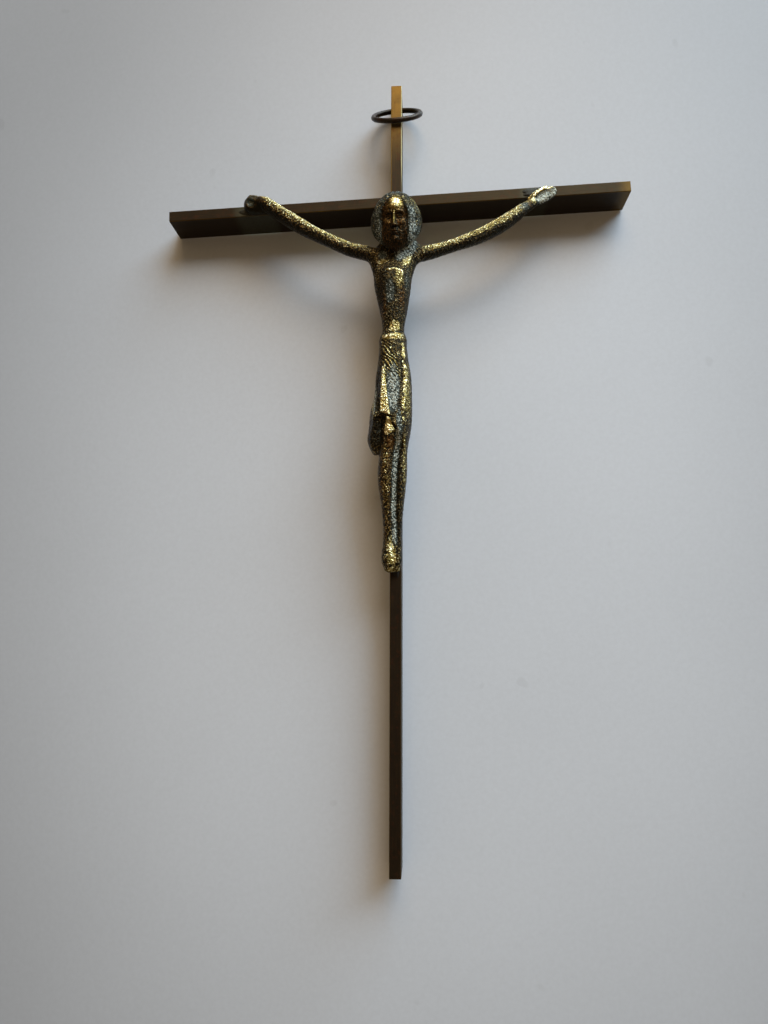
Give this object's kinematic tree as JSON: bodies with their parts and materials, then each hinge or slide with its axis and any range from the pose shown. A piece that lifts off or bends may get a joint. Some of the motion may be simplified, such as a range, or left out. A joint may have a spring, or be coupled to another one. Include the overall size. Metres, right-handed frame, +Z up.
{
  "type": "crucifix",
  "caption": "Slender wall crucifix: two flat bars on edge, half-lapped, with a cast figure soldered to their front edges and a loose wire ring for a nail.",
  "frame": {"origin": "middle of the crossing of the two bars, on the back face that lies against the wall", "axes": "+Z up along the upright, +X to the right as seen from the front, +Y into the wall"},
  "size_m": [0.1296, 0.0233, 0.215],
  "materials": {
    "bar_brass": "worn, brown patina with bright rubbed ends",
    "cast_bronze": "cast, brown-black in the recesses, verdigris, rubbed pale gold on the ridges",
    "ring_steel": "dark, aged wire",
    "solder": "dull, greyed and greened"
  },
  "bodies": {
    "cross": {"upright_bar": "bar_brass", "cross_bar": "bar_brass", "corpus": "cast_bronze", "left_hand_solder": "solder", "right_hand_solder": "solder", "foot_solder": "solder"},
    "ring": {"hanging_ring": "ring_steel"}
  },
  "joints": [
    {"name": "ring_swing", "type": "hinge", "parent": "cross", "child": "ring", "pos_m": [0, -0.0016, 0.0338], "axis": [-1, 0, 0], "range_deg": [0, 305]}
  ]
}
